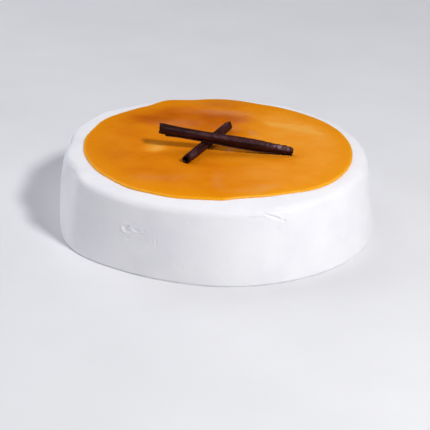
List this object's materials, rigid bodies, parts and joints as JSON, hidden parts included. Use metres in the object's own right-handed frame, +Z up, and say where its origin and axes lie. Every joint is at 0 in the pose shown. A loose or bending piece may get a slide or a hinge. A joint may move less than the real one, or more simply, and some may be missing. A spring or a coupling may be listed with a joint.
{
  "type": "ice cream cake",
  "caption": "Round, cream-coated ice cream cake with a thin caramel glaze on top and rolled chocolate sticks laid across each other.",
  "frame": {"origin": "middle of the foot, on the surface that the cake stands on", "axes": "+Z up, -Y towards the side that the picture shows, +X to the right of it"},
  "size_m": [0.2064, 0.2042, 0.0705],
  "materials": {
    "whipped_cream": "soft matt, spread with a spatula",
    "caramel_glaze": "smooth, glossy, slightly cloudy",
    "dark_chocolate": "satin, lightly ridged along the roll"
  },
  "bodies": {
    "root": {"cream_cake": "whipped_cream", "caramel_glaze": "caramel_glaze", "chocolate_stick_long": "dark_chocolate", "chocolate_stick_short": "dark_chocolate"}
  },
  "joints": []
}
